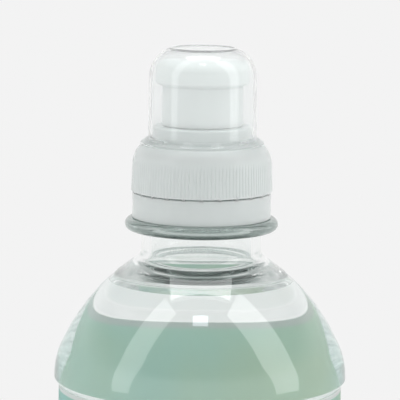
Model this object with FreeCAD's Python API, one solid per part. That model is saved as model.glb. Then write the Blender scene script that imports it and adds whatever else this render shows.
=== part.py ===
"""A half-litre sports water bottle, filled and closed: blown bottle, water, wrap label,
screw cap with its tamper band, push-pull valve and clear dust dome.

Millimetres, +Z up. The origin is the middle of the base, on the surface that the bottle stands on.
Every round piece is a half outline turned about Z. An outline is a list of corners
(radius, height, rounding), and rounding 0 leaves the corner sharp.
"""

import FreeCAD
import Part

import math
import os

# --- bottle body -------------------------------------------------------------------------
BODY_R = 31.6  # widest radius, at the shoulder's bulge and the lands of the grip
WALL = 0.4  # blown wall
PUSH_UP_H = 6.0  # rise of the base's middle
PUSH_UP_R = 7.0  # flat middle of the base
PUSH_UP_ROUND = 6.0
STAND_IN = 8.1  # middle of the ring that the bottle stands on, inside BODY_R
STAND_W = 3.0  # width of that ring
HEEL_H = 9.5  # height at which the heel reaches full width
HEEL_ROUND = 8.0
FEET = 10  # feet between the radial grooves of the base
FOOT_GROOVE_R = 2.4
FOOT_GROOVE_H = -0.4  # height of the grooves' axes where they cross the ring
FOOT_GROOVE_TILT = 14.0  # degrees, rising outwards
GRIP_START = 18.5  # middle of the lowest grip rib
GRIP_RIBS = 5
GRIP_PITCH = 12.0
RIB_DEPTH = 1.5
RIB_MOUTH_W = 5.0
RIB_FLOOR_W = 1.6
RIB_ROUND = 1.4
GRIP_LAND_H = 3.0  # straight land above the grip ribs
PANEL_H = 83.2  # recessed band that carries the label
PANEL_DEPTH = 1.1
STEP_H = 1.15  # height over which a land falls into the band
STEP_FOOT_ROUND = 0.45
STEP_EDGE_ROUND = 1.2
BULGE_LAND_H = 0.5  # straight land below the bulge

# --- shoulder and neck -------------------------------------------------------------------
BULGE_ARC_R = 16.4
SHOULDER_ARC_R = 45.5
ARC_JOIN = 24.4  # degrees above level of the surface's normal where the two arcs meet
NECK_OUT = 0.48  # neck outside the finish's straight wall
NECK_FILLET = 1.6
NECK_H = 4.5  # straight neck between the shoulder's fillet and the support ring
THICK_OUT = 6.05  # how far outside the neck the unstretched wall starts to grow towards it
THICK_WALL = 1.7  # wall where the shoulder turns into the neck
THICK_BLEND = 1.2
THICK_ROUND = 6.0
RING_OUT = 4.03  # support ring outside the finish's straight wall
RING_H = 2.6
RING_ROUND = 1.28

# --- neck finish under the cap -----------------------------------------------------------
BORE_R = 10.87
BORE_ROUND = 3.5  # where the shoulder's inside turns into the bore
FINISH_WALL = 1.6
FINISH_H = 14.4  # from the support ring's top to the mouth
BEAD_OUT = 1.43  # tamper bead outside the finish's straight wall
BEAD_H = 3.2  # middle of the tamper bead above the support ring
BEAD_W = 2.2
THREAD_DEPTH = 1.23  # room for the screw thread outside the finish's straight wall

# --- cap ---------------------------------------------------------------------------------
THREAD_GAP = 0.2
CAP_WALL = 1.3
CAP_TAPER = 0.35  # how much the skirt narrows up to its shoulder
CAP_PLATE = 1.52  # top plate between the mouth and the ledge round the boss
CAP_SHOULDER_R = 5.6
CAP_SHOULDER_H = 4.1  # from the skirt's top to the ledge
BEAD_GAP = 0.22  # between the tamper bead and its band
BAND_WALL = 0.8
BAND_H = 5.4
BAND_GAP = 0.1  # above the support ring
SEAM_H = 0.32
BRIDGES = 24
BRIDGE_W = 0.65
KNURLS = 120
KNURL_DEPTH = 0.25
KNURL_W = 0.5
PLUG_GAP = 0.12
PLUG_WALL = 1.1
PLUG_H = 2.6
BOSS_OUT = 0.5  # boss under the dome, outside the valve's lip
BOSS_H = 4.0
BOSS_ROUND = 0.5
CHIMNEY_BORE = 5.4  # radius of the drink's way through the chimney
CHIMNEY_WALL = 1.0
PIN_R = 2.4
PIN_TIP_ROUND = 0.6
SPOKES = 3
SPOKE_W = 1.5
SPOKE_H = 2.0

# --- valve -------------------------------------------------------------------------------
SLIDE_GAP = 0.12
VALVE_WALL = 2.13
VALVE_H = 14.2
VALVE_TOP = 3.2  # thickness of its top
VALVE_TRAVEL = 1.0  # free height over the chimney
VALVE_ROUND = 2.2
VALVE_LIP_OUT = 1.45  # lip that fingers or teeth pull
VALVE_LIP_H = 5.3
VALVE_LIP_ROUND = 0.8
PIN_GAP = 0.12
DRINK_DISH = 0.6  # depth of the dish round the drinking hole
DRINK_DISH_W = 1.88  # flat floor of that dish, from the hole outwards

# --- dome --------------------------------------------------------------------------------
DOME_WALL = 0.7
DOME_GAP = 0.35  # round the boss
DOME_HEADROOM = 1.5  # over the valve
DOME_TAPER = 0.25
DOME_ROUND = 6.4
DOME_RIM_IN = 4.85  # rim of the shallow dish in its top, inside the wall's foot
DOME_DISH = 0.25
DOME_FOOT_OUT = 1.6  # how far the foot flares
DOME_FOOT_H = 1.6
DOME_FOOT_LIP = 0.45

# --- label and water ---------------------------------------------------------------------
LABEL_T = 0.1
LABEL_GAP = 0.02
LABEL_MARGIN = 0.15  # bare band above and below it
FILL_BELOW_RING = 12.9  # water level under the support ring's middle

OUT = "parts"
UP = FreeCAD.Vector(0, 0, 1)
ORIGIN = FreeCAD.Vector(0, 0, 0)


# --- outlines ----------------------------------------------------------------------------
def unit(a, b):
    length = math.hypot(b[0] - a[0], b[1] - a[1])
    return (b[0] - a[0]) / length, (b[1] - a[1]) / length


def point(p):
    return FreeCAD.Vector(p[0], 0, p[1])


def rounded(corners):
    """Edges along the corners, each corner rounded by an arc tangent to both of its lines."""
    edges = []
    here = corners[0]
    for before, corner, after in zip(corners, corners[1:], corners[2:]):
        rounding = corner[2]
        if rounding <= 0:
            edges.append(Part.LineSegment(point(here), point(corner)).toShape())
            here = corner
            continue
        back, on = unit(corner, before), unit(corner, after)
        half = math.acos(max(-1.0, min(1.0, back[0] * on[0] + back[1] * on[1]))) / 2
        reach = rounding / math.tan(half)
        first = (corner[0] + back[0] * reach, corner[1] + back[1] * reach)
        last = (corner[0] + on[0] * reach, corner[1] + on[1] * reach)
        inward = unit(corner, ((first[0] + last[0]) / 2, (first[1] + last[1]) / 2))
        depth = rounding / math.sin(half) - rounding
        middle = (corner[0] + inward[0] * depth, corner[1] + inward[1] * depth)
        if math.hypot(first[0] - here[0], first[1] - here[1]) > 1e-6:
            edges.append(Part.LineSegment(point(here), point(first)).toShape())
        edges.append(Part.Arc(point(first), point(middle), point(last)).toShape())
        here = last
    if math.hypot(corners[-1][0] - here[0], corners[-1][1] - here[1]) > 1e-6:
        edges.append(Part.LineSegment(point(here), point(corners[-1])).toShape())
    return edges


def turned(corners):
    """The solid that a closed half outline sweeps about Z. It closes from its last corner to its first."""
    edges = rounded(corners)
    edges.append(Part.LineSegment(point(corners[-1]), point(corners[0])).toShape())
    face = Part.Face(Part.Wire(edges))
    solid = face.revolve(ORIGIN, UP, 360)
    if solid.Volume < 0:
        solid.reverse()
    return solid


def inset(corners, wall):
    """The outline a wall's thickness to the left of this one, with its roundings kept parallel."""
    lines = []
    for a, b in zip(corners, corners[1:]):
        along = unit(a, b)
        shift = (-along[1] * wall, along[0] * wall)
        lines.append(((a[0] + shift[0], a[1] + shift[1]), along))
    moved = [(lines[0][0][0], lines[0][0][1], 0)]
    for (start, along), (other, way), corner in zip(lines, lines[1:], corners[1:]):
        turn = along[0] * way[1] - along[1] * way[0]
        gap = (other[0] - start[0], other[1] - start[1])
        far = (gap[0] * way[1] - gap[1] * way[0]) / turn
        rounding = corner[2] - math.copysign(wall, turn) if corner[2] > 0 else 0
        moved.append((start[0] + along[0] * far, start[1] + along[1] * far, rounding))
    start, along = lines[-1]
    length = math.hypot(corners[-1][0] - corners[-2][0], corners[-1][1] - corners[-2][1])
    moved.append((start[0] + along[0] * length, start[1] + along[1] * length, 0))
    return moved


def around(shape, count, start=0.0):
    """count copies of a shape, evenly spaced about Z, in one compound."""
    copies = []
    for i in range(count):
        copy = shape.copy()
        copy.rotate(ORIGIN, UP, start + 360.0 * i / count)
        copies.append(copy)
    return Part.makeCompound(copies)


def tangent_corner(centre, radius, first, last):
    """Where the tangents at two normal angles of an arc meet."""
    middle = math.radians((first + last) / 2)
    reach = radius / math.cos(math.radians(last - first) / 2)
    return centre[0] + reach * math.cos(middle), centre[1] + reach * math.sin(middle)


def on_circle(centre, radius, angle):
    turn = math.radians(angle)
    return centre[0] + radius * math.cos(turn), centre[1] + radius * math.sin(turn)


# --- radii, from the bore and the pin outwards -------------------------------------------
PANEL_R = BODY_R - PANEL_DEPTH
STAND_R = BODY_R - STAND_IN
FINISH_R = BORE_R + FINISH_WALL
NECK_R = FINISH_R + NECK_OUT
THICK_R = NECK_R + THICK_OUT
RING_R = FINISH_R + RING_OUT
BEAD_R = FINISH_R + BEAD_OUT
SKIRT_IN = FINISH_R + THREAD_DEPTH + THREAD_GAP
CAP_R = SKIRT_IN + CAP_WALL
BAND_IN = BEAD_R + BEAD_GAP
BAND_R = BAND_IN + BAND_WALL
CHIMNEY_R = CHIMNEY_BORE + CHIMNEY_WALL
SLIDE_R = CHIMNEY_R + SLIDE_GAP
VALVE_R = SLIDE_R + VALVE_WALL
VALVE_LIP_R = VALVE_R + VALVE_LIP_OUT
BOSS_R = VALVE_LIP_R + BOSS_OUT
DRINK_HOLE_R = PIN_R + PIN_GAP
DOME_IN = BOSS_R + DOME_GAP
DOME_R = DOME_IN + DOME_WALL

# --- heights, from the base up -----------------------------------------------------------
GRIP_END = GRIP_START + GRIP_PITCH * (GRIP_RIBS - 1)
LOWER_LAND = GRIP_END + RIB_MOUTH_W / 2 + GRIP_LAND_H
PANEL_LOW = LOWER_LAND + STEP_H
PANEL_TOP = PANEL_LOW + PANEL_H
BULGE_LOW = PANEL_TOP + STEP_H
BULGE_Z = BULGE_LOW + BULGE_LAND_H

BULGE_CENTRE = (BODY_R - BULGE_ARC_R, BULGE_Z)
ARCS_MEET = on_circle(BULGE_CENTRE, BULGE_ARC_R, ARC_JOIN)
SHOULDER_CENTRE = on_circle(ARCS_MEET, -SHOULDER_ARC_R, ARC_JOIN)
SHOULDER_TOP = math.degrees(
    math.acos((NECK_R + NECK_FILLET - SHOULDER_CENTRE[0]) / (SHOULDER_ARC_R + NECK_FILLET))
)
NECK_START = on_circle(SHOULDER_CENTRE, SHOULDER_ARC_R + NECK_FILLET, SHOULDER_TOP)[1]
RING_LOW = NECK_START + NECK_H
RING_TOP = RING_LOW + RING_H
RING_Z = RING_LOW + RING_H / 2
MOUTH_Z = RING_TOP + FINISH_H
LEVEL_Z = RING_Z - FILL_BELOW_RING

BAND_LOW = RING_TOP + BAND_GAP
SEAM_LOW = BAND_LOW + BAND_H
SKIRT_LOW = SEAM_LOW + SEAM_H
LEDGE_Z = MOUTH_Z + CAP_PLATE
SKIRT_TOP = LEDGE_Z - CAP_SHOULDER_H
BOSS_TOP = LEDGE_Z + BOSS_H
VALVE_TOP_Z = BOSS_TOP + VALVE_H
VALVE_CEILING = VALVE_TOP_Z - VALVE_TOP
CHIMNEY_TOP = VALVE_CEILING - VALVE_TRAVEL
PIN_TOP = VALVE_TOP_Z - DRINK_DISH
DOME_CEILING = VALVE_TOP_Z + DOME_HEADROOM


# --- bottle ------------------------------------------------------------------------------
def rib(middle):
    """Corners of one grip rib pressed into the body, from its lower edge up."""
    floor_r = BODY_R - RIB_DEPTH
    return [
        (BODY_R, middle - RIB_MOUTH_W / 2, RIB_ROUND),
        (floor_r, middle - RIB_FLOOR_W / 2, RIB_ROUND),
        (floor_r, middle + RIB_FLOOR_W / 2, RIB_ROUND),
        (BODY_R, middle + RIB_MOUTH_W / 2, RIB_ROUND),
    ]


def base_outline():
    return [
        (0, PUSH_UP_H, 0),
        (PUSH_UP_R, PUSH_UP_H, PUSH_UP_ROUND),
        (STAND_R - STAND_W / 2, 0, 1.0),
        (STAND_R + STAND_W / 2, 0, 1.6),
        (BODY_R, HEEL_H, HEEL_ROUND),
    ]


def panel_outline():
    """The label's recessed band, with the step at each end."""
    return [
        (BODY_R, LOWER_LAND, STEP_EDGE_ROUND),
        (PANEL_R, PANEL_LOW, STEP_FOOT_ROUND),
        (PANEL_R, PANEL_TOP, STEP_FOOT_ROUND),
        (BODY_R, BULGE_LOW, STEP_EDGE_ROUND),
    ]


def shoulder_outline(last):
    """The bulge and the shoulder, up to the normal angle given by last."""
    bulge = tangent_corner(BULGE_CENTRE, BULGE_ARC_R, 0, ARC_JOIN)
    shoulder = tangent_corner(SHOULDER_CENTRE, SHOULDER_ARC_R, ARC_JOIN, last)
    return [(*bulge, BULGE_ARC_R), (*shoulder, SHOULDER_ARC_R)]


def body_outline(last):
    corners = base_outline()
    for i in range(GRIP_RIBS):
        corners += rib(GRIP_START + GRIP_PITCH * i)
    return corners + panel_outline() + shoulder_outline(last)


def neck_corner():
    """Where the shoulder's last tangent meets the straight neck."""
    top = on_circle(SHOULDER_CENTRE, SHOULDER_ARC_R, SHOULDER_TOP)
    return NECK_R, top[1] + (top[0] - NECK_R) / math.tan(math.radians(SHOULDER_TOP))


def neck_outline():
    """The neck, its support ring and the finish that the cap screws on, up to the mouth."""
    bead = RING_TOP + BEAD_H
    return [
        (*neck_corner(), NECK_FILLET),
        (NECK_R, RING_LOW, 0.6),
        (RING_R, RING_LOW, RING_ROUND),
        (RING_R, RING_TOP, RING_ROUND),
        (FINISH_R, RING_TOP, 0.4),
        (FINISH_R, bead - BEAD_W / 2, 0.3),
        (BEAD_R, bead - BEAD_W / 4, 0.3),
        (FINISH_R, bead + BEAD_W / 2, 0.3),
        (FINISH_R, MOUTH_Z, 0.3),
        (BORE_R, MOUTH_Z, 0),
    ]


def thick_corner():
    """Where the cavity leaves the parallel wall: an angle of the shoulder, and the corner itself."""
    inner = SHOULDER_ARC_R - WALL
    angle = math.degrees(math.acos((THICK_R - SHOULDER_CENTRE[0]) / inner))
    x, z = on_circle(SHOULDER_CENTRE, inner, angle)
    slope = math.radians(angle)
    return angle, (x - THICK_BLEND * math.sin(slope), z + THICK_BLEND * math.cos(slope))


def cavity_outline():
    """The inside of the blown wall. Above the shoulder the wall thickens into the neck's bore."""
    angle, kink = thick_corner()
    outside = body_outline(angle)
    outside.append((*on_circle(SHOULDER_CENTRE, SHOULDER_ARC_R, angle), 0))
    corners = inset(outside, WALL)[:-1]
    corners[0] = (0, PUSH_UP_H + WALL, 0)
    start_z = neck_corner()[1] - THICK_WALL
    return corners + [(*kink, THICK_ROUND), (BORE_R, start_z, BORE_ROUND), (BORE_R, MOUTH_Z, 0)]


def foot_grooves(radius):
    """Radial grooves that part the standing ring into feet."""
    tilt = math.radians(FOOT_GROOVE_TILT)
    way = FreeCAD.Vector(math.cos(tilt), 0, math.sin(tilt))
    start = FreeCAD.Vector(STAND_R, 0, FOOT_GROOVE_H) - way * (STAND_R - PUSH_UP_R)
    return around(Part.makeCylinder(radius, BODY_R + PUSH_UP_R, start, way), FEET)


def bottle_outside():
    corners = body_outline(SHOULDER_TOP) + neck_outline() + [(0, MOUTH_Z, 0)]
    return turned(corners).cut(foot_grooves(FOOT_GROOVE_R))


def bottle_inside():
    corners = cavity_outline() + [(0, MOUTH_Z, 0)]
    return turned(corners).cut(foot_grooves(FOOT_GROOVE_R + WALL))


def water(inside):
    level = Part.makeCylinder(BODY_R, LEVEL_Z)
    return inside.common(level)


def label():
    low, high = PANEL_LOW + LABEL_MARGIN, PANEL_TOP - LABEL_MARGIN
    inner = PANEL_R + LABEL_GAP
    outer = inner + LABEL_T
    return turned([(inner, low, 0), (outer, low, 0), (outer, high, 0), (inner, high, 0)])


# --- cap ---------------------------------------------------------------------------------
def cap_shell():
    """Skirt, shoulder, boss, chimney, top plate and plug, in one outline from the band's foot round."""
    skirt_top_r = CAP_R - CAP_TAPER
    arc_x = skirt_top_r - CAP_SHOULDER_R
    ledge_r = arc_x + math.sqrt(CAP_SHOULDER_R**2 - CAP_SHOULDER_H**2)
    ledge_angle = math.degrees(math.asin(CAP_SHOULDER_H / CAP_SHOULDER_R))
    arc = tangent_corner((arc_x, SKIRT_TOP), CAP_SHOULDER_R, 0, ledge_angle)
    plug_out = BORE_R - PLUG_GAP
    plug_low = MOUTH_Z - PLUG_H
    return turned(
        [
            (BAND_IN, BAND_LOW, 0),
            (BAND_R, BAND_LOW, 0.15),
            (BAND_R, SEAM_LOW + SEAM_H / 2, 0),
            (CAP_R, SEAM_LOW + SEAM_H / 2, 0),
            (CAP_R, SKIRT_LOW, 0),
            (*arc, CAP_SHOULDER_R),
            (ledge_r, LEDGE_Z, 0),
            (BOSS_R, LEDGE_Z, 0.2),
            (BOSS_R, BOSS_TOP, BOSS_ROUND),
            (CHIMNEY_R, BOSS_TOP, 0.2),
            (CHIMNEY_R, CHIMNEY_TOP, 0.3),
            (CHIMNEY_BORE, CHIMNEY_TOP, 0.3),
            (CHIMNEY_BORE, MOUTH_Z, 0),
            (plug_out - PLUG_WALL, MOUTH_Z, 0.3),
            (plug_out - PLUG_WALL, plug_low, 0.2),
            (plug_out, plug_low, 0.4),
            (plug_out, MOUTH_Z, 0),
            (SKIRT_IN, MOUTH_Z, 0.6),
            (SKIRT_IN, SEAM_LOW, 0),
            (BAND_IN, SEAM_LOW, 0),
        ]
    )


def tamper_slot():
    """The slit between skirt and band, without the bridges that still join them."""
    inner, outer = SKIRT_IN - BAND_WALL, max(CAP_R, BAND_R) + 1
    slit = turned(
        [(inner, SEAM_LOW, 0), (outer, SEAM_LOW, 0), (outer, SKIRT_LOW, 0), (inner, SKIRT_LOW, 0)]
    )
    corner = FreeCAD.Vector(inner - 1, -BRIDGE_W / 2, SEAM_LOW - 1)
    bridge = Part.makeBox(outer - inner + 2, BRIDGE_W, SEAM_H + 2, corner)
    return slit.cut(around(bridge, BRIDGES))


def knurls():
    """V grooves down the skirt, between the tamper seam and the shoulder."""
    tip, mouth = CAP_R - KNURL_DEPTH, CAP_R + KNURL_DEPTH
    low = SKIRT_LOW + KNURL_W
    across = [(tip, 0), (mouth, KNURL_W), (mouth, -KNURL_W), (tip, 0)]
    outline = Part.makePolygon([FreeCAD.Vector(x, y, low) for x, y in across])
    groove = Part.Face(outline).extrude(FreeCAD.Vector(0, 0, SKIRT_TOP - low))
    return around(groove, KNURLS, 180.0 / KNURLS)


def pin_and_spokes():
    """The fixed pin that plugs the drinking hole, with the spokes that hold it in the chimney."""
    pin = turned(
        [
            (0, MOUTH_Z, 0),
            (PIN_R, MOUTH_Z, 0),
            (PIN_R, PIN_TOP, PIN_TIP_ROUND),
            (0, PIN_TOP, 0),
        ]
    )
    corner = FreeCAD.Vector(0, -SPOKE_W / 2, MOUTH_Z)
    spoke = Part.makeBox(CHIMNEY_BORE + CHIMNEY_WALL / 2, SPOKE_W, SPOKE_H, corner)
    return pin.fuse(around(spoke, SPOKES).Solids)


def cap():
    shell = cap_shell().cut(tamper_slot()).cut(knurls())
    return shell.fuse(pin_and_spokes())


# --- valve and dome ----------------------------------------------------------------------
def valve():
    dish_r = DRINK_HOLE_R + DRINK_DISH_W
    lip_z = VALVE_TOP_Z - VALVE_LIP_H
    return turned(
        [
            (DRINK_HOLE_R, VALVE_CEILING, 0),
            (SLIDE_R, VALVE_CEILING, 0.6),
            (SLIDE_R, BOSS_TOP, 0.4),
            (VALVE_R, BOSS_TOP, 0.4),
            (VALVE_R, lip_z, 0.5),
            (VALVE_LIP_R, lip_z, VALVE_LIP_ROUND),
            (VALVE_LIP_R, VALVE_TOP_Z, VALVE_ROUND),
            (dish_r + DRINK_DISH, VALVE_TOP_Z, 0.3),
            (dish_r, PIN_TOP, 0.2),
            (DRINK_HOLE_R, PIN_TOP, 0),
        ]
    )


def dome():
    dish = DOME_CEILING + DOME_WALL
    top = dish + DOME_DISH
    foot = DOME_R + DOME_FOOT_OUT
    rim = DOME_R - DOME_RIM_IN
    arc_x = DOME_R - DOME_TAPER - DOME_ROUND
    rim_angle = math.degrees(math.acos((rim - arc_x) / DOME_ROUND))
    centre = (arc_x, top - DOME_ROUND * math.sin(math.radians(rim_angle)))
    inner_round = DOME_ROUND - DOME_WALL
    ceiling_angle = math.degrees(math.asin((DOME_CEILING - centre[1]) / inner_round))
    return turned(
        [
            (0, DOME_CEILING, 0),
            (*on_circle(centre, inner_round, ceiling_angle), 0),
            (*tangent_corner(centre, inner_round, 0, ceiling_angle), inner_round),
            (DOME_IN, LEDGE_Z, 0),
            (foot, LEDGE_Z, 0.15),
            (foot, LEDGE_Z + DOME_FOOT_LIP, 0.15),
            (DOME_R, LEDGE_Z + DOME_FOOT_H, 0.6),
            (*tangent_corner(centre, DOME_ROUND, 0, rim_angle), DOME_ROUND),
            (rim, top, 0.15),
            (rim - DOME_DISH, dish, 0.15),
            (0, dish, 0),
        ]
    )


def export(name, shape):
    solids = shape.Solids
    if len(solids) != 1 or not solids[0].isValid():
        raise RuntimeError(f"{name}: {len(solids)} solids, valid {[s.isValid() for s in solids]}")
    solids[0].exportStep(os.path.join(OUT, f"{name}.step"))
    print(f"{name}: {solids[0].Volume / 1000:.2f} cm3, {len(solids[0].Faces)} faces")


def main():
    os.makedirs(OUT, exist_ok=True)
    inside = bottle_inside()
    export("bottle", bottle_outside().cut(inside))
    export("water", water(inside))
    export("label", label())
    export("cap", cap())
    export("valve", valve())
    export("dome", dome())
    print(f"ring {RING_Z:.2f}, level {LEVEL_Z:.2f}, mouth {MOUTH_Z:.2f}, ledge {LEDGE_Z:.2f}")


main()
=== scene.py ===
"""Looks of the half-litre sports bottle: clear bottle, water, wrap label, cap, valve and dust dome.

The CAD tessellation is too coarse to refract through, so each node is replaced by a finer lathe mesh of the
same outline. A comment says where a mesh departs from the CAD on purpose. Outlines are in millimetres, as
lists of corners (radius, height, rounding), and heights come from the frame's boxes. A mesh is in metres.
"""

import math

import bpy
import numpy as np
from mathutils import Matrix, Vector

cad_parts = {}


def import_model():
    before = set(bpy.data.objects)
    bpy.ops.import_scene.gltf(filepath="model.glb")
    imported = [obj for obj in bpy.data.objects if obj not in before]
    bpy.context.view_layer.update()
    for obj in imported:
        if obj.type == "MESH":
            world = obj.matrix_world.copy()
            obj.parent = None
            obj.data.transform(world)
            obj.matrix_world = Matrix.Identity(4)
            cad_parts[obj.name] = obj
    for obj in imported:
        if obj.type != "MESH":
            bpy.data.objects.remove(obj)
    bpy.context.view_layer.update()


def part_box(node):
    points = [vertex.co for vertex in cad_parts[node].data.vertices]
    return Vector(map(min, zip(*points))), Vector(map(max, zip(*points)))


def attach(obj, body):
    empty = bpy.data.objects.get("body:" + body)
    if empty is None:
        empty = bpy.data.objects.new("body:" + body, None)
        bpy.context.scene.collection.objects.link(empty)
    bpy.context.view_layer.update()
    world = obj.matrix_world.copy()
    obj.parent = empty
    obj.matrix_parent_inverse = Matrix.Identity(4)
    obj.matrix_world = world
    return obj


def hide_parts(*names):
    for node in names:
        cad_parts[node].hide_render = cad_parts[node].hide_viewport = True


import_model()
MM = 0.001  # metres in a millimetre
PER_METRE = 1 / MM

# --- sizes that the outlines share with the CAD, in millimetres ---------------------------
WALL = 0.4
NECK_R = 12.95
RING_R = 16.5
RING_H = 2.6
FINISH_R = 12.47
BORE_R = 10.87
BEAD_R = 13.9
BEAD_ABOVE_RING = 3.2
BAND_GAP = 0.1
BAND_H = 5.4
SEAM_H = 0.32
SKIRT_H = 6.0
CAP_R = 15.2
CAP_TAPER = 0.35
BAND_R = 14.92
BRIDGES = 24
KNURLS = 120
PANEL_DEPTH = 1.1
SHOULDER_ARC_R = 45.5
BULGE_ARC_R = 16.4
ARC_JOIN = 24.4  # degrees

# --- heights and radii from the frame ------------------------------------------------------
def corners_mm(node):
    """A node's lowest and highest corners in millimetres."""
    low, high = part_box(node)
    return low * PER_METRE, high * PER_METRE


LABEL_MARGIN = 0.15  # bare panel beyond each end of the label

body_high = corners_mm("bottle")[1]
label_low, label_high = corners_mm("label")
cap_low, cap_high = corners_mm("cap")
dome_low, dome_high = corners_mm("dome")
BODY_R = body_high.x
MOUTH_Z = body_high.z
LEVEL_Z = corners_mm("water")[1].z
RING_TOP = cap_low.z - BAND_GAP
RING_LOW = RING_TOP - RING_H
RING_Z = RING_TOP - RING_H / 2
PANEL_LOW = label_low.z - LABEL_MARGIN
PANEL_TOP = label_high.z + LABEL_MARGIN
LEDGE_Z = dome_low.z
BOSS_TOP = corners_mm("valve")[0].z
VALVE_TOP = corners_mm("valve")[1].z

SAME = 1e-5  # millimetres within which two points are one
ON_AXIS = 1e-6


# --- outlines -------------------------------------------------------------------------------
def unit(a, b):
    length = math.hypot(b[0] - a[0], b[1] - a[1])
    return (b[0] - a[0]) / length, (b[1] - a[1]) / length


def on_circle(centre, radius, angle):
    turn = math.radians(angle)
    return centre[0] + radius * math.cos(turn), centre[1] + radius * math.sin(turn)


def tangent_corner(centre, radius, first, last):
    middle = math.radians((first + last) / 2)
    reach = radius / math.cos(math.radians(last - first) / 2)
    return centre[0] + reach * math.cos(middle), centre[1] + reach * math.sin(middle)


def sample(corners, step=7.0, longest=6.0):
    """Points and left-hand normals along rounded corners. A sharp corner gives two points in one place."""
    points, normals = [], []

    def line(a, b):
        length = math.hypot(b[0] - a[0], b[1] - a[1])
        if length < ON_AXIS:
            return
        along = unit(a, b)
        count = max(1, math.ceil(length / longest))
        for i in range(count + 1):
            t = i / count
            points.append((a[0] + (b[0] - a[0]) * t, a[1] + (b[1] - a[1]) * t))
            normals.append((along[1], -along[0]))

    here = corners[0]
    for before, corner, after in zip(corners, corners[1:], corners[2:]):
        if corner[2] <= 0:
            line(here, corner)
            here = corner
            continue
        back, on = unit(corner, before), unit(corner, after)
        half = math.acos(max(-1.0, min(1.0, back[0] * on[0] + back[1] * on[1]))) / 2
        reach = corner[2] / math.tan(half)
        first = (corner[0] + back[0] * reach, corner[1] + back[1] * reach)
        last = (corner[0] + on[0] * reach, corner[1] + on[1] * reach)
        inward = unit(corner, ((first[0] + last[0]) / 2, (first[1] + last[1]) / 2))
        deep = corner[2] / math.sin(half)
        centre = (corner[0] + inward[0] * deep, corner[1] + inward[1] * deep)
        line(here, first)
        start = math.atan2(first[1] - centre[1], first[0] - centre[0])
        sweep = math.atan2(last[1] - centre[1], last[0] - centre[0]) - start
        sweep = (sweep + math.pi) % (2 * math.pi) - math.pi
        count = max(2, math.ceil(abs(math.degrees(sweep)) / step))
        outward = 1 if sweep > 0 else -1
        for i in range(count + 1):
            angle = start + sweep * i / count
            way = (math.cos(angle), math.sin(angle))
            points.append((centre[0] + corner[2] * way[0], centre[1] + corner[2] * way[1]))
            normals.append((way[0] * outward, way[1] * outward))
        here = last
    line(here, corners[-1])
    return merged(points, normals)


SAME_WAY = 0.9999  # cosine above which two directions are one


def merged(points, normals):
    """Drops a repeated point where the direction stays the same, and keeps it where a corner is sharp."""
    kept, ways = [points[0]], [normals[0]]
    for point, way in zip(points[1:], normals[1:]):
        close = math.hypot(point[0] - kept[-1][0], point[1] - kept[-1][1]) < SAME
        same = way[0] * ways[-1][0] + way[1] * ways[-1][1] > SAME_WAY
        if close and same:
            continue
        kept.append(point)
        ways.append(way)
    return kept, ways


def inset(corners, wall):
    """The outline a wall's thickness to the left of this one, with its roundings kept parallel."""
    lines = []
    for a, b in zip(corners, corners[1:]):
        along = unit(a, b)
        lines.append(((a[0] - along[1] * wall, a[1] + along[0] * wall), along))
    moved = [(*lines[0][0], 0)]
    for (start, along), (other, way), corner in zip(lines, lines[1:], corners[1:]):
        turn = along[0] * way[1] - along[1] * way[0]
        gap = (other[0] - start[0], other[1] - start[1])
        far = (gap[0] * way[1] - gap[1] * way[0]) / turn
        rounding = corner[2] - math.copysign(wall, turn) if corner[2] > 0 else 0
        moved.append((start[0] + along[0] * far, start[1] + along[1] * far, rounding))
    start, along = lines[-1]
    length = math.hypot(corners[-1][0] - corners[-2][0], corners[-1][1] - corners[-2][1])
    moved.append((start[0] + along[0] * length, start[1] + along[1] * length, 0))
    return moved


# --- meshes ---------------------------------------------------------------------------------
def lathe(points, normals, segments, shape=None):
    """Vertices, faces and normals of an outline turned about Z. shape(r, z, angles) may move each ring."""
    angles = np.arange(segments) * (2 * math.pi / segments)
    cos, sin = np.cos(angles), np.sin(angles)
    verts, ways, rows = [], [], []
    for (r, z), (nr, nz) in zip(points, normals):
        if r < ON_AXIS:
            rows.append([len(verts)] * segments)
            verts.append((0.0, 0.0, z))
            ways.append((0.0, 0.0, 1.0 if nz > 0 else -1.0))
            continue
        radius, height = np.full(segments, float(r)), np.full(segments, float(z))
        if shape:
            radius, height = shape(radius, height, angles)
        rows.append(list(range(len(verts), len(verts) + segments)))
        verts += list(zip(radius * cos, radius * sin, height))
        ways += list(zip(nr * cos, nr * sin, np.full(segments, nz)))
    faces = []
    for low, high, a, b in zip(rows, rows[1:], points, points[1:]):
        if math.hypot(a[0] - b[0], a[1] - b[1]) < SAME:
            continue
        for i in range(segments):
            j = (i + 1) % segments
            corners = [low[i], low[j], high[j], high[i]]
            face = [c for k, c in enumerate(corners) if c != corners[k - 1]]
            if len(face) > 2:
                faces.append(face)
    return verts, faces, ways


def make(name, parts, material, exact_normals=True):
    """One object from several (verts, faces, normals) parts in millimetres."""
    verts, faces, ways = [], [], []
    for part_verts, part_faces, part_ways in parts:
        start = len(verts)
        verts += [(x * MM, y * MM, z * MM) for x, y, z in part_verts]
        faces += [[i + start for i in face] for face in part_faces]
        ways += part_ways
    mesh = bpy.data.meshes.new(name)
    mesh.from_pydata(verts, [], faces)
    mesh.validate()
    mesh.shade_smooth()
    if exact_normals:
        mesh.normals_split_custom_set_from_vertices(ways)
    piece = bpy.data.objects.new(name, mesh)
    bpy.context.scene.collection.objects.link(piece)
    materials = material if isinstance(material, list) else [material]
    for item in materials:
        mesh.materials.append(item)
    return piece


def add(piece, node):
    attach(piece, "root")
    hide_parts(node)
    return piece


# --- materials ------------------------------------------------------------------------------
def new_material(name):
    material = bpy.data.materials.new(name)
    material.use_nodes = True
    tree = material.node_tree
    shader = tree.nodes["Principled BSDF"]
    return material, tree, shader


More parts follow.
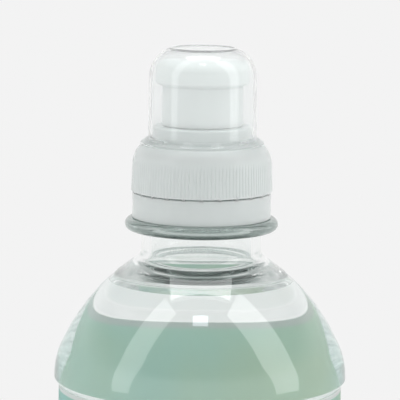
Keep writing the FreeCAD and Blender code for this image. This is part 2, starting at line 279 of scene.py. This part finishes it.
def wavy_bump(tree, shader, scale, distance):
    """Relief of soft noise in the object's own coordinates: scale per metre, distance in metres."""
    place = tree.nodes.new("ShaderNodeTexCoord")
    noise = tree.nodes.new("ShaderNodeTexNoise")
    noise.inputs["Scale"].default_value = scale
    noise.inputs["Detail"].default_value = NOISE_DETAIL
    bump = tree.nodes.new("ShaderNodeBump")
    bump.inputs["Strength"].default_value = 1.0
    bump.inputs["Distance"].default_value = distance
    tree.links.new(place.outputs["Object"], noise.inputs["Vector"])
    tree.links.new(noise.outputs["Fac"], bump.inputs["Height"])
    tree.links.new(bump.outputs["Normal"], shader.inputs["Normal"])
    return noise


def mixed(tree, factor, first, second):
    """Shows first where factor is 0 and second where it is 1. A number as factor goes on the node itself."""
    mix = tree.nodes.new("ShaderNodeMixShader")
    if isinstance(factor, float):
        mix.inputs["Fac"].default_value = factor
    else:
        tree.links.new(factor, mix.inputs["Fac"])
    tree.links.new(first, mix.inputs[1])
    tree.links.new(second, mix.inputs[2])
    tree.links.new(mix.outputs["Shader"], tree.nodes["Material Output"].inputs["Surface"])


def clear(name, tint, ior, roughness, wave=None, haze=0.0):
    """Clear plastic or water. Lamps light what is inside it, instead of it casting a solid shadow."""
    material, tree, shader = new_material(name)
    shader.inputs["Base Color"].default_value = (*tint, 1)
    shader.inputs["Transmission Weight"].default_value = 1.0 - haze
    shader.inputs["IOR"].default_value = ior
    shader.inputs["Roughness"].default_value = roughness
    if wave:
        wavy_bump(tree, shader, *wave)
    paths = tree.nodes.new("ShaderNodeLightPath")
    open_way = tree.nodes.new("ShaderNodeBsdfTransparent")
    open_way.inputs["Color"].default_value = (*LAMPLIGHT_LET_BY, 1)
    mixed(tree, paths.outputs["Is Shadow Ray"], shader.outputs["BSDF"], open_way.outputs["BSDF"])
    return material


def milky(name, colour, roughness, depth):
    """Translucent white polyethylene. Light goes depth millimetres into it."""
    material, tree, shader = new_material(name)
    shader.inputs["Base Color"].default_value = (*colour, 1)
    shader.inputs["Roughness"].default_value = roughness
    shader.inputs["IOR"].default_value = POLYETHYLENE_IOR
    shader.inputs["Subsurface Weight"].default_value = 1.0
    shader.inputs["Subsurface Radius"].default_value = (1.0, 1.0, 1.0)
    shader.inputs["Subsurface Scale"].default_value = depth * MM
    wavy_bump(tree, shader, *MOULDED_WAVE)
    return material


def film(name, first, second, see_through):
    """Thin printed film that lets light through softly, in fields of two colours."""
    material, tree, shader = new_material(name)
    shader.inputs["Roughness"].default_value = FILM_ROUGHNESS
    shader.inputs["IOR"].default_value = FILM_IOR
    noise = wavy_bump(tree, shader, 1 / FIELD_SIZE, FILM_RELIEF)
    ramp = tree.nodes.new("ShaderNodeValToRGB")
    for stop, place, colour in zip(ramp.color_ramp.elements, FIELD_EDGE, (first, second)):
        stop.position = place
        stop.color = (*colour, 1)
    through = tree.nodes.new("ShaderNodeBsdfTranslucent")
    tree.links.new(noise.outputs["Fac"], ramp.inputs["Fac"])
    tree.links.new(ramp.outputs["Color"], shader.inputs["Base Color"])
    tree.links.new(ramp.outputs["Color"], through.inputs["Color"])
    mixed(tree, see_through, shader.outputs["BSDF"], through.outputs["BSDF"])
    return material


PET_IOR, WATER_IOR, ACRYLIC_IOR, POLYETHYLENE_IOR, FILM_IOR = 1.575, 1.333, 1.49, 1.53, 1.5
LAMPLIGHT_LET_BY = (0.96, 0.97, 0.965)
NOISE_DETAIL = 2.0
BLOWN_WAVE, COVER_WAVE, MOULDED_WAVE = (35.0, 0.00006), (60.0, 0.00003), (300.0, 0.00004)
FIELD_SIZE = 0.03  # metres across one field of colour on the label
FIELD_EDGE = (0.4, 0.6)  # noise values between which one field fades into the next
FILM_RELIEF = 0.00003
FILM_ROUGHNESS = 0.35

PET = clear("clear_pet", (0.97, 0.985, 0.98), PET_IOR, 0.0, BLOWN_WAVE)
# The support ring's dark grey-green tint is painted shade. It stands in for the dark that the thick ring
# shows where light bends and reflects inside it.
RING_PET_PAINTED_SHADE = clear("clear_pet_ring_painted_shade", (0.26, 0.32, 0.30), PET_IOR, 0.0, BLOWN_WAVE)
WATER = clear("still_water", (0.985, 0.995, 0.995), WATER_IOR, 0.0)
COVER = clear("clear_cover", (0.97, 0.98, 0.98), ACRYLIC_IOR, 0.02, COVER_WAVE, haze=0.1)
CAP = milky("cap_polyethylene", (0.69, 0.735, 0.725), 0.25, 1.5)
VALVE = milky("valve_polyethylene", (0.80, 0.84, 0.83), 0.5, 2.0)
PRINT = film("label_print", (0.52, 0.82, 0.79), (0.66, 0.86, 0.72), 0.6)
BACKING = film("label_backing", (0.82, 0.95, 0.93), (0.92, 0.95, 0.84), 0.8)
MARGIN = film("label_margin", (0.88, 0.92, 0.91), (0.92, 0.93, 0.92), 0.5)


# --- bottle ---------------------------------------------------------------------------------
PUSH_UP_H, PUSH_UP_R, PUSH_UP_ROUND = 6.0, 7.0, 6.0
STAND_R, STAND_W = 23.5, 3.0
STAND_IN_ROUND, STAND_OUT_ROUND = 1.0, 1.6
HEEL_H, HEEL_ROUND = 9.5, 8.0
FEET = 10
FOOT_GROOVE_R, FOOT_GROOVE_H, FOOT_GROOVE_TILT = 2.4, -0.4, 14.0
GRIP_RIBS, GRIP_START, GRIP_PITCH = 5, 18.5, 12.0
RIB_DEPTH, RIB_MOUTH_W, RIB_FLOOR_W, RIB_ROUND = 1.5, 5.0, 1.6, 1.4
STEP_H, STEP_FOOT_ROUND, STEP_EDGE_ROUND = 1.15, 0.45, 1.2
BULGE_LAND_H = 0.5
NECK_FILLET = 1.6
RING_ROUND, RING_FILLET = 1.28, 0.6
BEAD_HALF_H, FINISH_ROUND, FINISH_FILLET = 1.1, 0.3, 0.4
THICK_R, THICK_WALL, THICK_BLEND = 19.0, 1.7, 1.2
THICK_ROUND, BORE_ROUND = 6.0, 3.5

BULGE_Z = PANEL_TOP + STEP_H + BULGE_LAND_H
BULGE_CENTRE = (BODY_R - BULGE_ARC_R, BULGE_Z)
SHOULDER_CENTRE = on_circle(on_circle(BULGE_CENTRE, BULGE_ARC_R, ARC_JOIN), -SHOULDER_ARC_R, ARC_JOIN)
SHOULDER_TOP = math.degrees(
    math.acos((NECK_R + NECK_FILLET - SHOULDER_CENTRE[0]) / (SHOULDER_ARC_R + NECK_FILLET))
)


def body_outline(last):
    """From the base's centre up to the shoulder, where its arc has turned to the angle last."""
    corners = [
        (0, PUSH_UP_H, 0),
        (PUSH_UP_R, PUSH_UP_H, PUSH_UP_ROUND),
        (STAND_R - STAND_W / 2, 0, STAND_IN_ROUND),
        (STAND_R + STAND_W / 2, 0, STAND_OUT_ROUND),
        (BODY_R, HEEL_H, HEEL_ROUND),
    ]
    floor_r = BODY_R - RIB_DEPTH
    for i in range(GRIP_RIBS):
        middle = GRIP_START + GRIP_PITCH * i
        corners += [
            (BODY_R, middle - RIB_MOUTH_W / 2, RIB_ROUND),
            (floor_r, middle - RIB_FLOOR_W / 2, RIB_ROUND),
            (floor_r, middle + RIB_FLOOR_W / 2, RIB_ROUND),
            (BODY_R, middle + RIB_MOUTH_W / 2, RIB_ROUND),
        ]
    panel_r = BODY_R - PANEL_DEPTH
    corners += [
        (BODY_R, PANEL_LOW - STEP_H, STEP_EDGE_ROUND),
        (panel_r, PANEL_LOW, STEP_FOOT_ROUND),
        (panel_r, PANEL_TOP, STEP_FOOT_ROUND),
        (BODY_R, PANEL_TOP + STEP_H, STEP_EDGE_ROUND),
        (*tangent_corner(BULGE_CENTRE, BULGE_ARC_R, 0, ARC_JOIN), BULGE_ARC_R),
        (*tangent_corner(SHOULDER_CENTRE, SHOULDER_ARC_R, ARC_JOIN, last), SHOULDER_ARC_R),
    ]
    return corners


def neck_corner():
    """Where the shoulder's last tangent meets the neck."""
    top = on_circle(SHOULDER_CENTRE, SHOULDER_ARC_R, SHOULDER_TOP)
    return NECK_R, top[1] + (top[0] - NECK_R) / math.tan(math.radians(SHOULDER_TOP))


def neck_outline():
    bead = RING_TOP + BEAD_ABOVE_RING
    return [
        (*neck_corner(), NECK_FILLET),
        (NECK_R, RING_LOW, RING_FILLET),
        (RING_R, RING_LOW, RING_ROUND),
        (RING_R, RING_TOP, RING_ROUND),
        (FINISH_R, RING_TOP, FINISH_FILLET),
        (FINISH_R, bead - BEAD_HALF_H, FINISH_ROUND),
        (BEAD_R, bead - BEAD_HALF_H / 2, FINISH_ROUND),
        (FINISH_R, bead + BEAD_HALF_H, FINISH_ROUND),
        (FINISH_R, MOUTH_Z, FINISH_ROUND),
        (BORE_R, MOUTH_Z, 0),
    ]


def cavity_outline(wall=WALL):
    """The inside of the wall, up the bore. A thinner wall gives the outline that reaches into it."""
    inner = SHOULDER_ARC_R - WALL
    angle = math.degrees(math.acos((THICK_R - SHOULDER_CENTRE[0]) / inner))
    x, z = on_circle(SHOULDER_CENTRE, inner, angle)
    slope = math.radians(angle)
    kink = (x - THICK_BLEND * math.sin(slope), z + THICK_BLEND * math.cos(slope))
    outside = body_outline(angle) + [(*on_circle(SHOULDER_CENTRE, SHOULDER_ARC_R, angle), 0)]
    corners = inset(outside, WALL)[:-1]
    corners[0] = (0, PUSH_UP_H + WALL, 0)
    corners += [
        (*kink, THICK_ROUND),
        (BORE_R, neck_corner()[1] - THICK_WALL, BORE_ROUND),
        (BORE_R, MOUTH_Z, 0),
    ]
    if wall == WALL:
        return corners
    grown = inset(corners, wall - WALL)
    grown[0] = (0, PUSH_UP_H + wall, 0)
    return grown


def feet(groove_r):
    """Moves rings of the base up into the radial grooves that part the feet."""
    tilt = math.radians(FOOT_GROOVE_TILT)
    spread = 2 * math.pi / FEET

    def shape(radius, height, angles):
        if height[0] > HEEL_H or radius[0] < PUSH_UP_R:
            return radius, height
        turn = (angles + spread / 2) % spread - spread / 2
        along, across = radius * np.cos(turn), radius * np.sin(turn)
        inside = np.clip(groove_r**2 - across**2, 0, None)
        roof = FOOT_GROOVE_H + (along - STAND_R) * math.tan(tilt) + np.sqrt(inside) / math.cos(tilt)
        return radius, np.where(inside > 0, np.maximum(height, roof), height)

    return shape


BODY_SEGMENTS = 240
RING_START, RING_MARGIN = 0.3, 0.1  # the faces with painted shade begin this far out from the neck and beyond the ring


def bottle():
    verts, faces, ways = lathe(*sample(cavity_outline()), BODY_SEGMENTS, feet(FOOT_GROOVE_R + WALL))
    faces = [face[::-1] for face in faces]
    ways = [(-x, -y, -z) for x, y, z in ways]
    outside = sample(body_outline(SHOULDER_TOP) + neck_outline())
    shell = [lathe(*outside, BODY_SEGMENTS, feet(FOOT_GROOVE_R)), (verts, faces, ways)]
    piece = add(make("bottle_shell", shell, [PET, RING_PET_PAINTED_SHADE]), "bottle")
    # Faces on the support ring take the darker material, which is painted shade.
    for polygon in piece.data.polygons:
        centre = polygon.center / MM
        on_ring = RING_LOW - RING_MARGIN < centre.z < RING_TOP + RING_MARGIN
        if on_ring and math.hypot(centre.x, centre.y) > NECK_R + RING_START:
            polygon.material_index = 1


bottle()

# --- water ----------------------------------------------------------------------------------
OVERLAP = 0.12  # how far the water reaches into the wall, which it only touches in the CAD
MENISCUS_H, MENISCUS_W, MENISCUS_STEPS = 0.55, 2.0, 12


def water_outline():
    """The inside of the wall as far as the water creeps up it, then the water's own curved surface."""
    points, normals = sample(cavity_outline(WALL - OVERLAP))
    top = LEVEL_Z + MENISCUS_H
    count = next(i for i, point in enumerate(points) if point[1] > top)
    low, high = points[count - 1], points[count]
    share = (top - low[1]) / (high[1] - low[1])
    edge = low[0] + (high[0] - low[0]) * share
    points, normals = points[:count] + [(edge, top)], normals[: count + 1]
    for i in range(MENISCUS_STEPS + 1):
        t = i / MENISCUS_STEPS
        points.append((edge - MENISCUS_W * t, LEVEL_Z + MENISCUS_H * (1 - t) ** 3))
        slope = 3 * MENISCUS_H * (1 - t) ** 2 / MENISCUS_W
        length = math.hypot(slope, 1)
        normals.append((-slope / length, 1 / length))
    points.append((0, LEVEL_Z))
    normals.append((0, 1))
    return points, normals


def water():
    body = lathe(*water_outline(), BODY_SEGMENTS, feet(FOOT_GROOVE_R + WALL - OVERLAP))
    add(make("water_fill", [body], WATER), "water")


water()

# --- label ----------------------------------------------------------------------------------
MARGIN_H = 0.9  # unprinted edge at each end of the label
LABEL_GAP = 0.02  # between the label and the panel


def label():
    """Print outside, backing inside, and a plain margin at both ends."""
    inside, outside = BODY_R - PANEL_DEPTH + LABEL_GAP, label_high.x
    print_low, print_high = label_low.z + MARGIN_H, label_high.z - MARGIN_H
    heights = [label_low.z, print_low, print_high, label_high.z]
    loop = [(outside, z, 0) for z in heights] + [(inside, z, 0) for z in heights[::-1]]
    sleeve = lathe(*sample(loop + loop[:1]), BODY_SEGMENTS)
    piece = make("label_sleeve", [sleeve], [PRINT, BACKING, MARGIN])
    for polygon in piece.data.polygons:
        centre, normal = polygon.center, polygon.normal
        if not print_low * MM < centre.z < print_high * MM:
            polygon.material_index = 2
        elif centre.x * normal.x + centre.y * normal.y < 0:
            polygon.material_index = 1
    add(piece, "label")


label()

# --- cap ------------------------------------------------------------------------------------
BAND_WALL = 0.8
SKIRT_IN = 13.9
CAP_SHOULDER_R, CAP_SHOULDER_H = 5.6, 4.1
BOSS_R = 10.6
CHIMNEY_R, CHIMNEY_WALL, CHIMNEY_H = 6.4, 1.0, 10.0
PIN_R = 2.4
PLUG_OUT, PLUG_WALL, PLUG_H = 10.75, 1.1, 2.6
SKIRT_FOOT_H = 0.4
SEAT_GAP = 0.05  # between the mouth and the plate of the cap, which touch in the CAD
# The CAD's grooves are 0.23 deep at the foot and run out at the shoulder. These keep one faint depth.
KNURL_DEPTH, KNURL_START, KNURL_FADE = 0.1, 0.3, 0.9
KNURL_SHARE = 0.5  # of each pitch is groove
KNURL_STEPS = 8  # vertices across one groove and its ridge
KNURL_INNER_R = SKIRT_IN + 0.2  # what lies further in stays round
BRIDGE_W, BRIDGE_SUNK = 0.65, 0.1
BRIDGE_INSET = 0.08  # from the band's outside, with which the CAD's bridges are flush
BAND_SEGMENTS, PIN_SEGMENTS = 240, 64
SEAM_LOW = cap_low.z + BAND_H
SKIRT_LOW = SEAM_LOW + SEAM_H
SKIRT_TOP = SKIRT_LOW + SKIRT_H


def cap_top_outline():
    """Everything above the seam but the pin. The edges at the seam are softer than the CAD's."""
    skirt_top_r = CAP_R - CAP_TAPER
    arc_x = skirt_top_r - CAP_SHOULDER_R
    ledge_r = arc_x + math.sqrt(CAP_SHOULDER_R**2 - CAP_SHOULDER_H**2)
    ledge_angle = math.degrees(math.asin(CAP_SHOULDER_H / CAP_SHOULDER_R))
    arc = tangent_corner((arc_x, SKIRT_TOP), CAP_SHOULDER_R, 0, ledge_angle)
    chimney_in = CHIMNEY_R - CHIMNEY_WALL
    chimney_top = BOSS_TOP + CHIMNEY_H
    plug_in, plug_low = PLUG_OUT - PLUG_WALL, MOUTH_Z - PLUG_H
    plate_low = MOUTH_Z + SEAT_GAP
    return [
        (SKIRT_IN, SKIRT_LOW, 0),
        (CAP_R, SKIRT_LOW, 0.12),
        (CAP_R, SKIRT_LOW + SKIRT_FOOT_H, 0),
        (*arc, CAP_SHOULDER_R),
        (ledge_r, LEDGE_Z, 0.15),
        (BOSS_R, LEDGE_Z, 0.2),
        (BOSS_R, BOSS_TOP, 0.5),
        (CHIMNEY_R, BOSS_TOP, 0.2),
        (CHIMNEY_R, chimney_top, 0.3),
        (chimney_in, chimney_top, 0.3),
        (chimney_in, plate_low, 0),
        (plug_in, plate_low, 0.3),
        (plug_in, plug_low, 0.2),
        (PLUG_OUT, plug_low, 0.4),
        (PLUG_OUT, plate_low, 0),
        (SKIRT_IN, plate_low, 0.6),
        (SKIRT_IN, SKIRT_LOW, 0),
    ]


def band_outline():
    inner_r = BAND_R - BAND_WALL
    return [
        (inner_r, cap_low.z, 0),
        (BAND_R, cap_low.z, 0.2),
        (BAND_R, SEAM_LOW, 0.12),
        (inner_r, SEAM_LOW, 0),
        (inner_r, cap_low.z, 0),
    ]


def pin_outline():
    """The centre pin, without the CAD's spokes under it, which nothing shows from outside."""
    return [
        (0, MOUTH_Z, 0),
        (PIN_R, MOUTH_Z, 0),
        (PIN_R, cap_high.z, 0.6),
        (0, cap_high.z, 0),
    ]


def knurl(radius, height, angles):
    """Shallow V grooves down the skirt, fading out at its foot and its shoulder."""
    z = height[0]
    if radius[0] < KNURL_INNER_R or z < SKIRT_LOW + KNURL_START:
        return radius, height
    fade = min(1.0, max(0.0, (SKIRT_TOP + KNURL_FADE - z) / KNURL_FADE))
    turn = (angles * KNURLS / (2 * math.pi)) % 1.0
    groove = np.clip(1 - np.abs(turn - 0.5) / (KNURL_SHARE / 2), 0, 1)
    return radius - KNURL_DEPTH * fade * groove, height


def bridge(angle):
    """A small block across the seam that joins the band to the skirt, sunk into both."""
    c, s = math.cos(angle), math.sin(angle)
    r_low, r_high = BAND_R - BAND_WALL + BRIDGE_SUNK, BAND_R - BRIDGE_INSET
    half = BRIDGE_W / 2
    verts = []
    for z in (SEAM_LOW - BRIDGE_SUNK, SKIRT_LOW + BRIDGE_SUNK):
        for r, y in ((r_low, -half), (r_high, -half), (r_high, half), (r_low, half)):
            verts.append((r * c - y * s, r * s + y * c, z))
    faces = [[3, 2, 1, 0], [4, 5, 6, 7], [0, 1, 5, 4], [1, 2, 6, 5], [2, 3, 7, 6], [3, 0, 4, 7]]
    return verts, faces, [(c, s, 0.0)] * 8


def cap():
    top = lathe(*sample(cap_top_outline(), longest=0.8), KNURLS * KNURL_STEPS, knurl)
    band = lathe(*sample(band_outline()), BAND_SEGMENTS)
    bridges = [bridge(2 * math.pi * i / BRIDGES) for i in range(BRIDGES)]
    pin = lathe(*sample(pin_outline()), PIN_SEGMENTS)
    parts = [top, band, *bridges, pin]
    add(make("cap_moulding", parts, CAP, exact_normals=False), "cap")


cap()

# --- valve ----------------------------------------------------------------------------------
VALVE_R, VALVE_LIP_R, VALVE_LIP_H = 8.65, 10.1, 5.3
VALVE_CEILING = 3.2  # from the valve's top down to the roof of its bore
SLIDE_GAP = 0.12
DRINK_DISH_R, DRINK_DISH = 5.0, 0.6
VALVE_SEGMENTS = 160


def valve_outline():
    bore, hole = CHIMNEY_R + SLIDE_GAP, PIN_R + SLIDE_GAP
    ceiling = VALVE_TOP - VALVE_CEILING
    lip_z, dish_z = VALVE_TOP - VALVE_LIP_H, VALVE_TOP - DRINK_DISH
    return [
        (hole, ceiling, 0),
        (bore, ceiling, 0.6),
        (bore, BOSS_TOP, 0.4),
        (VALVE_R, BOSS_TOP, 0.4),
        (VALVE_R, lip_z, 0.5),
        (VALVE_LIP_R, lip_z, 0.8),
        (VALVE_LIP_R, VALVE_TOP, 2.2),
        (DRINK_DISH_R, VALVE_TOP, 0.3),
        (DRINK_DISH_R - DRINK_DISH, dish_z, 0.2),
        (hole, dish_z, 0),
        (hole, ceiling, 0),
    ]


add(make("valve_spout", [lathe(*sample(valve_outline()), VALVE_SEGMENTS)], VALVE), "valve")

# --- dome -----------------------------------------------------------------------------------
DOME_WALL, DOME_TAPER, DOME_ROUND = 0.7, 0.25, 6.4
DOME_DISH_R, DOME_DISH = 6.8, 0.15  # the dish is shallower than the CAD's
DOME_SUNK = 0.05  # into the cap, so that the foot shows no gap
DOME_FOOT_LIP, DOME_FOOT_H = 0.45, 1.6
DOME_IN = BOSS_R + 0.35
DOME_SEGMENTS = 192


def dome_outline():
    outer_r = DOME_IN + DOME_WALL
    top = dome_high.z
    dish = top - DOME_DISH
    ceiling = dish - DOME_WALL
    foot = dome_high.x
    arc_x = outer_r - DOME_TAPER - DOME_ROUND
    rim_angle = math.degrees(math.acos((DOME_DISH_R - arc_x) / DOME_ROUND))
    centre = (arc_x, top - DOME_ROUND * math.sin(math.radians(rim_angle)))
    inner_round = DOME_ROUND - DOME_WALL
    ceiling_angle = math.degrees(math.asin((ceiling - centre[1]) / inner_round))
    return [
        (0, ceiling, 0),
        (*on_circle(centre, inner_round, ceiling_angle), 0),
        (*tangent_corner(centre, inner_round, 0, ceiling_angle), inner_round),
        (DOME_IN, LEDGE_Z - DOME_SUNK, 0),
        (foot, LEDGE_Z - DOME_SUNK, 0),
        (foot, LEDGE_Z + DOME_FOOT_LIP, 0.15),
        (outer_r, LEDGE_Z + DOME_FOOT_H, 0.6),
        (*tangent_corner(centre, DOME_ROUND, 0, rim_angle), DOME_ROUND),
        (DOME_DISH_R, top, 0.15),
        (DOME_DISH_R - DOME_DISH, dish, 0.15),
        (0, dish, 0),
    ]


dome_mesh = lathe(*sample(dome_outline(), step=5.0), DOME_SEGMENTS)
add(make("dust_dome", [dome_mesh], COVER), "dome")


# --- stage, world and lamps -----------------------------------------------------------------
BACKDROP = 0.896  # linear grey of the plain background
FLOOR_TONE = 0.76
PAPER_ROUGHNESS = 0.9
FLOOR_Z, FLOOR_R, FLOOR_SEGMENTS = -0.02, 3000, 96
FLOOR_FADE = (0.05, 0.22)  # metres from the bottle over which the shaded floor fades into the background
ROOM_LIGHT = 0.95  # share of the room's tones that lights the pieces
ROOM_LOW, ROOM_HIGH = 0.5, 0.45
ROOM_TONES = [(-0.5, 0.6), (-0.25, BACKDROP), (0.3, BACKDROP), (0.5, 0.5)]  # sine of the height, tone


def grey(tone):
    return tone, tone, tone, 1.0


def floor_material():
    """Paper that keeps the bottle's shadow. Further off it glows in the background's tone, and this lights
    the pieces too.
    """
    material, tree, shader = new_material("floor_paper")
    shader.inputs["Base Color"].default_value = grey(FLOOR_TONE)
    shader.inputs["Roughness"].default_value = PAPER_ROUGHNESS
    glow = tree.nodes.new("ShaderNodeEmission")
    glow.inputs["Color"].default_value = grey(BACKDROP)
    place = tree.nodes.new("ShaderNodeTexCoord")
    length = tree.nodes.new("ShaderNodeVectorMath")
    length.operation = "LENGTH"
    fade = tree.nodes.new("ShaderNodeMapRange")
    fade.interpolation_type = "SMOOTHSTEP"
    fade.inputs["From Min"].default_value = FLOOR_FADE[0]
    fade.inputs["From Max"].default_value = FLOOR_FADE[1]
    tree.links.new(place.outputs["Object"], length.inputs[0])
    tree.links.new(length.outputs["Value"], fade.inputs["Value"])
    mixed(tree, fade.outputs["Result"], shader.outputs["BSDF"], glow.outputs["Emission"])
    return material


def floor():
    sheet = lathe([(FLOOR_R, FLOOR_Z), (0, FLOOR_Z)], [(0, 1), (0, 1)], FLOOR_SEGMENTS)
    make("floor", [sheet], floor_material())


def world():
    """Plain for the camera. Around the pieces it is pale at their own height and darker above and below."""
    made = bpy.data.worlds.new("studio")
    made.use_nodes = True
    tree = made.node_tree
    tree.nodes.clear()
    output = tree.nodes.new("ShaderNodeOutputWorld")
    paths = tree.nodes.new("ShaderNodeLightPath")
    way = tree.nodes.new("ShaderNodeTexCoord")
    split = tree.nodes.new("ShaderNodeSeparateXYZ")
    place = tree.nodes.new("ShaderNodeMapRange")
    place.inputs["From Min"].default_value = -1.0
    room = tree.nodes.new("ShaderNodeValToRGB")
    tones = room.color_ramp
    for stop, position, tone in zip(tones.elements, (0.0, 1.0), (ROOM_LOW, ROOM_HIGH)):
        stop.position = position
        stop.color = grey(tone)
    for sine, tone in ROOM_TONES:
        tones.elements.new((sine + 1) / 2).color = grey(tone)
    seen = tree.nodes.new("ShaderNodeBackground")
    seen.inputs["Color"].default_value = grey(BACKDROP)
    around = tree.nodes.new("ShaderNodeBackground")
    clearly = tree.nodes.new("ShaderNodeMath")
    clearly.operation = "MAXIMUM"
    level = tree.nodes.new("ShaderNodeMapRange")
    level.inputs["To Min"].default_value = ROOM_LIGHT
    mix = tree.nodes.new("ShaderNodeMixShader")
    tree.links.new(way.outputs["Generated"], split.inputs["Vector"])
    tree.links.new(split.outputs["Z"], place.inputs["Value"])
    tree.links.new(place.outputs["Result"], room.inputs["Fac"])
    tree.links.new(room.outputs["Color"], around.inputs["Color"])
    tree.links.new(paths.outputs["Is Glossy Ray"], clearly.inputs[0])
    tree.links.new(paths.outputs["Is Transmission Ray"], clearly.inputs[1])
    tree.links.new(clearly.outputs["Value"], level.inputs["Value"])
    tree.links.new(level.outputs["Result"], around.inputs["Strength"])
    tree.links.new(paths.outputs["Is Camera Ray"], mix.inputs["Fac"])
    tree.links.new(around.outputs["Background"], mix.inputs[1])
    tree.links.new(seen.outputs["Background"], mix.inputs[2])
    tree.links.new(mix.outputs["Shader"], output.inputs["Surface"])
    bpy.context.scene.world = made


def softbox(name, place, target, size, watts, colour=(1, 1, 1)):
    """A flat lamp of a width and height in metres, facing its target."""
    data = bpy.data.lights.new(name, "AREA")
    data.shape = "RECTANGLE"
    data.size, data.size_y = size
    data.energy = watts
    data.color = colour
    lamp = bpy.data.objects.new(name, data)
    lamp.location = place
    lamp.rotation_euler = (Vector(target) - Vector(place)).to_track_quat("-Z", "Y").to_euler()
    bpy.context.scene.collection.objects.link(lamp)


# --- camera ---------------------------------------------------------------------------------
CAMERA_FAR = 597.2  # millimetres from the support ring
CAMERA_UP = 8.743  # degrees above it
CAMERA_ROLL = 0.62  # degrees
LENS_PICTURES = 6.9315  # focal length over the picture's width
SENSOR = 36.0
AIM_SHIFT = (-0.003625, 0.057375)


def camera():
    data = bpy.data.cameras.new("camera")
    data.sensor_fit = "HORIZONTAL"
    data.sensor_width = SENSOR
    data.lens = SENSOR * LENS_PICTURES
    data.shift_x, data.shift_y = AIM_SHIFT
    data.clip_end = 100
    up = math.radians(CAMERA_UP)
    target = Vector((0, 0, RING_Z)) * MM
    place = target + Vector((0, -math.cos(up), math.sin(up))) * CAMERA_FAR * MM
    turn = (target - place).to_track_quat("-Z", "Y").to_matrix()
    roll = Matrix.Rotation(math.radians(CAMERA_ROLL), 3, "Z")
    made = bpy.data.objects.new("camera", data)
    made.location = place
    made.rotation_euler = (turn @ roll).to_euler()
    bpy.context.scene.collection.objects.link(made)
    bpy.context.scene.camera = made


# --- the scene ------------------------------------------------------------------------------
CENTRE = (0, 0, 0.17)
COOL = (0.88, 0.94, 1.0)
BOUNCES = 128  # light runs along the wall and the water many times before it leaves them

floor()
world()
softbox("front_top", (0, -0.34, 0.90), CENTRE, (0.15, 0.09), 0.13, COOL)
softbox("overhead", (0, 0.05, 1.1), (0, 0, 0.2), (0.7, 0.35), 2.3)
softbox("left", (-0.7, -0.35, 0.65), CENTRE, (0.30, 1.3), 1.3)
softbox("right", (0.75, -0.25, 0.65), CENTRE, (0.42, 1.3), 2.2)
camera()

scene = bpy.context.scene
scene.view_settings.view_transform = "Standard"
scene.cycles.max_bounces = BOUNCES
scene.cycles.transmission_bounces = BOUNCES
scene.cycles.glossy_bounces = BOUNCES
scene.cycles.transparent_max_bounces = 16
